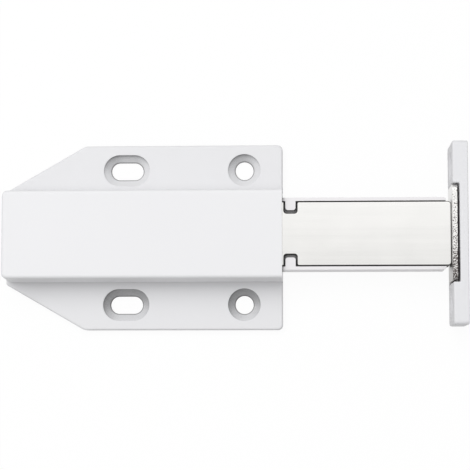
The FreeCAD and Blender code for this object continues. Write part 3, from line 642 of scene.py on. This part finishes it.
# %% Finish: ferrite and wire
FERRITE_DEPTH = 3 * GRAIN_DEPTH


def make_plain(name, group, colour, metallic, depth, **values):
    """A finish that has nothing but its colour and the marks of one group."""
    material, tree_nodes, link, surface, marks = start_finish(name, group, **values)
    surface.inputs["Metallic"].default_value = metallic
    link(tone_colour(tree_nodes, link, marks.outputs["Tone"], colour),
         surface.inputs["Base Color"])
    link(marks.outputs["Roughness"], surface.inputs["Roughness"])
    add_bump(tree_nodes, link, marks.outputs["Height"], depth, surface)
    return material


ferrite = make_plain("ground_ferrite", skin, colour=(0.07, 0.07, 0.075), metallic=0.0,
                     depth=FERRITE_DEPTH, Grain=1.0, Base_Roughness=0.55)
wire_steel = make_plain("drawn_wire", rolled, colour=(0.56, 0.56, 0.57), metallic=1.0,
                        depth=GRAIN_DEPTH, Base_Roughness=0.28)
print("finishes:", [material.name for material in bpy.data.materials])

# %% [markdown]
# The frame's meshes are loose triangles with knife-sharp edges. Real mouldings and punchings
# have none. A copy of a piece is merged into one skin, and a bevel modifier rounds every edge
# that turns by more than a set angle. Loop slide is off, because it can push a corner past its
# neighbour and fold a face. The housing has its large rounded edges in the frame already, so only
# a hair is taken off the rest, and the hidden cover keeps its edges. Then the triangles of each
# level face are joined up. Weighted normals lean towards the larger face at each corner, so a
# joined face looks flat up to its edge.

# %% A softened copy of a piece
MERGE_DISTANCE = 0.002 * MM
FLAT_ANGLE = math.radians(0.2)
EDGE_ANGLE = math.radians(38)
BEVEL_SEGMENTS = 3
SMOOTH_ANGLE = math.radians(35)
SOFT_EDGES = {
    "housing": 0.03 * MM,
    "back_cover": 0.0,
    "plunger_carrier": 0.06 * MM,
    "upper_pole_plate": 0.24 * MM,
    "lower_pole_plate": 0.24 * MM,
    "magnet": 0.12 * MM,
    "follower_link": 0.08 * MM,
    "keeper_body": 0.28 * MM,
    "armature_plate": 0.12 * MM,
}


def select_only(piece):
    """Operators act on all that is selected, so one piece is selected and made active."""
    bpy.ops.object.select_all(action="DESELECT")
    piece.hide_viewport = False
    piece.select_set(True)
    bpy.context.view_layer.objects.active = piece


def apply_modifiers(piece):
    """Makes every modifier of a piece part of its mesh."""
    select_only(piece)
    for modifier in list(piece.modifiers):
        bpy.ops.object.modifier_apply(modifier=modifier.name)


def round_edges(piece, width):
    """Rounds every edge that turns by more than the set angle."""
    bevel = piece.modifiers.new("soft_edges", "BEVEL")
    bevel.width = width
    bevel.segments = BEVEL_SEGMENTS
    bevel.limit_method = "ANGLE"
    bevel.angle_limit = EDGE_ANGLE
    bevel.use_clamp_overlap = False
    bevel.loop_slide = False
    apply_modifiers(piece)


def soften(node, finish):
    """A copy of a frame piece with rounded edges, which stands for it on the same body."""
    source = nodes[node]
    piece = bpy.data.objects.new(node + "_piece", source.data.copy())
    bpy.context.scene.collection.objects.link(piece)
    select_only(piece)
    bpy.ops.object.mode_set(mode="EDIT")
    bpy.ops.mesh.select_all(action="SELECT")
    bpy.ops.mesh.remove_doubles(threshold=MERGE_DISTANCE)
    bpy.ops.object.mode_set(mode="OBJECT")
    if SOFT_EDGES[node]:
        round_edges(piece, SOFT_EDGES[node])
    bpy.ops.object.mode_set(mode="EDIT")
    bpy.ops.mesh.select_all(action="SELECT")
    bpy.ops.mesh.dissolve_limited(angle_limit=FLAT_ANGLE)
    bpy.ops.object.mode_set(mode="OBJECT")
    bpy.ops.object.shade_smooth_by_angle(angle=SMOOTH_ANGLE)
    normals = piece.modifiers.new("flat_faces", "WEIGHTED_NORMAL")
    normals.keep_sharp = True
    apply_modifiers(piece)
    piece.data.materials.clear()
    piece.data.materials.append(finish)
    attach(piece, source["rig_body"])
    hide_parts(node)
    print(piece.name, len(piece.data.polygons), "faces")


# %% [markdown]
# The moulded pieces come first: the housing with its flange and raised box, the cover that snaps
# into its back, the sliding carrier, and the keeper that is screwed to the door. The frame has
# their exact forms, so they are softened copies and not modelled again.

# %% Moulded pieces
soften("housing", white_plastic)
soften("back_cover", cover_plastic)
soften("plunger_carrier", carrier_plastic)
soften("keeper_body", keeper_plastic)

# %% [markdown]
# Then the metal: two pole plates, the magnet that stands between them, the loose armature, and
# the wire link that steers the latch. The plates' edges are rounded as well, because a punch drags
# the sheet down a little as it cuts, and the plating follows that.

# %% Metal pieces
soften("upper_pole_plate", plated_steel)
soften("lower_pole_plate", plated_steel)
soften("armature_plate", armature_steel)
soften("magnet", ferrite)
soften("follower_link", wire_steel)

# %% [markdown]
# The return spring is wound from round wire, with closed turns at both ends and open turns
# between. A curve with a round bevel is the plain way to make wire: a loop works out its points,
# and the curve becomes a mesh.

# %% Return spring
WIRE_RADIUS = 0.3 * MM
WIRE_ROUNDING = 3
SPRING_TURNS = 18
CLOSED_TURNS = 1.5
POINTS_A_TURN = 16
BORE_ROOM = 0.05 * MM

spring_mid_y = (spring_low.y + spring_high.y) / 2
spring_mid_z = (spring_low.z + spring_high.z) / 2
spring_radius = (spring_high.y - spring_low.y) / 2 - WIRE_RADIUS - BORE_ROOM
open_turns = SPRING_TURNS - 2 * CLOSED_TURNS
closed_length = CLOSED_TURNS * 2 * WIRE_RADIUS
open_length = spring_high.x - spring_low.x - 2 * WIRE_RADIUS - 2 * closed_length


def along_spring(turn):
    """How far along the spring the wire is after so many turns."""
    if turn < CLOSED_TURNS:
        return turn * 2 * WIRE_RADIUS
    if turn < CLOSED_TURNS + open_turns:
        return closed_length + (turn - CLOSED_TURNS) / open_turns * open_length
    return closed_length + open_length + (turn - CLOSED_TURNS - open_turns) * 2 * WIRE_RADIUS


wire = bpy.data.curves.new("return_spring_wire", "CURVE")
wire.dimensions = "3D"
wire.bevel_depth = WIRE_RADIUS
wire.bevel_resolution = WIRE_ROUNDING
wire.use_fill_caps = True
winding = wire.splines.new("POLY")
winding.points.add(SPRING_TURNS * POINTS_A_TURN)
for count, point in enumerate(winding.points):
    turn = count / POINTS_A_TURN
    angle = turn * 2 * math.pi
    point.co = (spring_low.x + WIRE_RADIUS + along_spring(turn),
                spring_mid_y + spring_radius * math.cos(angle),
                spring_mid_z + spring_radius * math.sin(angle), 1)
spring_curve = bpy.data.objects.new("return_spring_piece", wire)
bpy.context.scene.collection.objects.link(spring_curve)
select_only(spring_curve)
bpy.ops.object.convert(target="MESH")
spring = bpy.context.object
bpy.ops.object.shade_smooth_by_angle(angle=SMOOTH_ANGLE)
spring.data.materials.clear()
spring.data.materials.append(wire_steel)
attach(spring, "housing")
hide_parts("return_spring")
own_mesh(spring)
